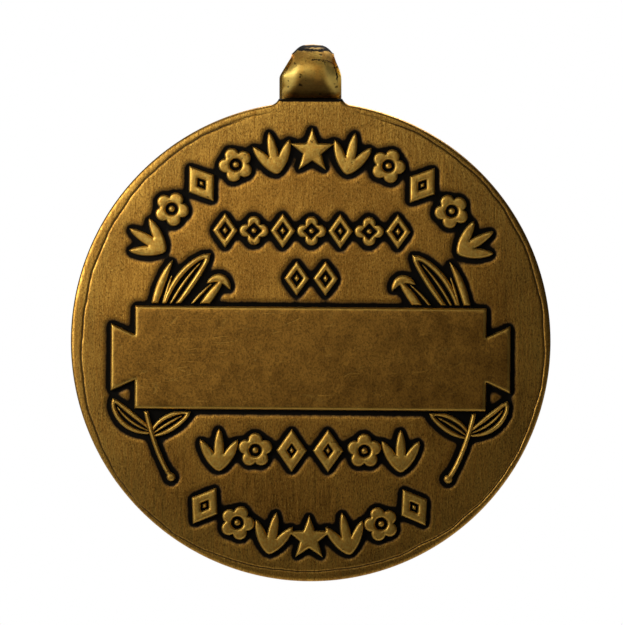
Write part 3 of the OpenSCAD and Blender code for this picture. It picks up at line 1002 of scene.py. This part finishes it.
def bent_loop():
    material, tree = new_material("bent_rubbed_bronze")
    turned = measure(tree, "turned")
    side = measure(tree, "across")
    off_middle = combine(tree, "ABSOLUTE", side, 0.0)
    mottle = stretched_noise(tree, (1.1, 1.1, 1.1), detail=5.0, roughness=0.62, seed=(4, 4, 4))
    grain = stretched_noise(tree, (6.0, 6.0, 6.0), detail=4.0, roughness=0.7, seed=(1, 6, 3))
    specks = stretched_noise(tree, (2.6, 2.6, 2.6), detail=1.5, seed=(2, 8, 7))
    pits = ramp_between(tree, specks, 0.66, 0.72)
    jitter = ramp_between(tree, grain, 0.3, 0.7, -1.0, 1.0)
    place = combine(tree, "ADD", turned, ramp_between(tree, mottle, 0.3, 0.7, -5.0, 5.0))
    black, crack = cracked_patina(tree, turned, side, off_middle, place, jitter)
    lit_polished_flank, shaded_facet = flap_areas(tree, turned, off_middle, place)

    shade = mixed(tree, ramp_between(tree, mottle, 0.3, 0.7), BRONZE, WORN)
    shade = mixed(tree, ramp_between(tree, grain, 0.42, 0.7, 0.0, 0.35), shade, OXIDE_BROWN)
    # painted highlight on the flap's two flanks, over polished metal
    shade = mixed(tree, product(tree, lit_polished_flank, 0.75), shade, POLISHED_HIGHLIGHT)
    # painted shade on the flap's lower facet, where it turns under, with sulphide left there
    shade = mixed(tree, product(tree, shaded_facet, 0.85), shade, OXIDE_BROWN)
    shade = mixed(tree, product(tree, pits, 0.8), shade, OXIDE)
    roughness = ramp_between(tree, mottle, 0.3, 0.7, 0.5, 0.62)
    height = combine(tree, "SUBTRACT", product(tree, grain, 0.6),
                     combine(tree, "ADD", pits, crack))
    bronze_surface(tree, shade, black, roughness, height, 0.018)
    return material


# %% [markdown]
# ## Giving each piece its finish
# A finish is chosen by the piece's place on the medal.

# %% Finishes
field_finish = brushed_field()
relief_finish = worn_relief("worn_relief_bronze", 0.09, 0.4, 0.7)
obverse_finish = worn_relief("worn_obverse_bronze", 0.12, 0.4, 0.5)
panel_finish = handled_panel()
loop_finish = bent_loop()
special = {"planchet": field_finish, "name_panel": panel_finish, "suspension_loop": loop_finish}
for node, piece in pieces.items():
    on_obverse = node.startswith(("obverse", "wreath"))
    finish = special.get(node, obverse_finish if on_obverse else relief_finish)
    piece.data.materials.append(finish)
print(len(pieces), "pieces finished")

# %% [markdown]
# ## Floor, light and camera
# The medal hangs above a plain pale floor. Two small soft lamps stand close to it, one in front
# and one to the left. A grid on each narrows its beam, so the light falls off towards the lower
# right. A large lamp overhead, behind the medal, lights the floor and the obverse. The sky is
# dim, but the camera sees it as white.

# %% Floor
FLOOR_HALF = 1.2
FLOOR_FRONT = -0.35
FLOOR_DROP = 0.2
floor_z = cad_box[0][2] - FLOOR_DROP
floor_mesh = bpy.data.meshes.new("floor")
floor_mesh.from_pydata(
    [(-FLOOR_HALF, FLOOR_FRONT, floor_z), (FLOOR_HALF, FLOOR_FRONT, floor_z),
     (FLOOR_HALF, FLOOR_HALF, floor_z), (-FLOOR_HALF, FLOOR_HALF, floor_z)], [], [(0, 1, 2, 3)])
floor = bpy.data.objects.new("floor", floor_mesh)
bpy.context.scene.collection.objects.link(floor)
floor_paint, floor_tree = new_material("matt_white_floor")
floor_shader = add(floor_tree, "ShaderNodeBsdfPrincipled",
                   {"Base Color": colour("#F6F6F4"), "Roughness": 0.9})
add(floor_tree, "ShaderNodeOutputMaterial", {"Surface": floor_shader.outputs[0]})
floor_mesh.materials.append(floor_paint)

# %% Light


def soft_lamp(name, place_mm, aim_mm, size_mm, watts, beam=180):
    """A round lamp. beam is the full angle of its light, in degrees."""
    lamp = bpy.data.lights.new(name, "AREA")
    lamp.shape = "DISK"
    lamp.size = size_mm * MM
    lamp.energy = watts
    lamp.spread = math.radians(beam)
    item = bpy.data.objects.new(name, lamp)
    item.location = Vector(place_mm) * MM
    toward = (Vector(aim_mm) - Vector(place_mm)).normalized()
    item.rotation_mode = "QUATERNION"
    item.rotation_quaternion = toward.to_track_quat("-Z", "Y")
    item.visible_camera = False
    bpy.context.scene.collection.objects.link(item)


soft_lamp("front_lamp", (-20, -60, disc_z + 32), (-9, 0, disc_z + 14), 50, 0.0015, 48)
soft_lamp("left_lamp", (-60, -42, disc_z + 24), (-14, 0, disc_z + 9), 50, 0.008, 68)
soft_lamp("overhead_lamp", (100, 500, 700), (0, 250, -237), 600, 10)

world = bpy.data.worlds.new("soft_sky")
world.use_nodes = True
world.node_tree.nodes.clear()
sky = add(world.node_tree, "ShaderNodeBackground", {"Color": colour("#FFFFFF"), "Strength": 0.03})
seen = add(world.node_tree, "ShaderNodeBackground", {"Color": colour("#FFFFFF"), "Strength": 1.0})
ray = add(world.node_tree, "ShaderNodeLightPath")
both = add(world.node_tree, "ShaderNodeMixShader",
           {0: ray.outputs["Is Camera Ray"], 1: sky.outputs[0], 2: seen.outputs[0]})
add(world.node_tree, "ShaderNodeOutputWorld", {"Surface": both.outputs[0]})
bpy.context.scene.world = world
bpy.context.scene.view_settings.view_transform = "Standard"

# %% [markdown]
# The camera looks straight at the reverse through a long lens, so the disc keeps its true
# outline. It leans by half a degree, so the medal seems to hang a touch askew.

# %% Camera
CAMERA_DISTANCE = 0.45
VIEW_WIDTH_MM = 45.54
ABOVE_CENTRE_MM = 2.115
LEFT_OF_MIDDLE_MM = 0.04
LEAN = 0.46
camera_data = bpy.data.cameras.new("camera")
camera_data.sensor_fit = "HORIZONTAL"
camera_data.sensor_width = 36
camera_data.lens = 36 * CAMERA_DISTANCE / (VIEW_WIDTH_MM * MM)
camera_data.clip_start = 0.01
camera_data.clip_end = 20
camera = bpy.data.objects.new("camera", camera_data)
camera.location = (LEFT_OF_MIDDLE_MM * MM, -CAMERA_DISTANCE, (disc_z + ABOVE_CENTRE_MM) * MM)
camera.rotation_euler = (math.radians(90), math.radians(-LEAN), 0)
bpy.context.scene.collection.objects.link(camera)
bpy.context.scene.camera = camera
print(f"lens of {camera_data.lens:.0f} mm, {CAMERA_DISTANCE * 1000:.0f} mm from the medal")
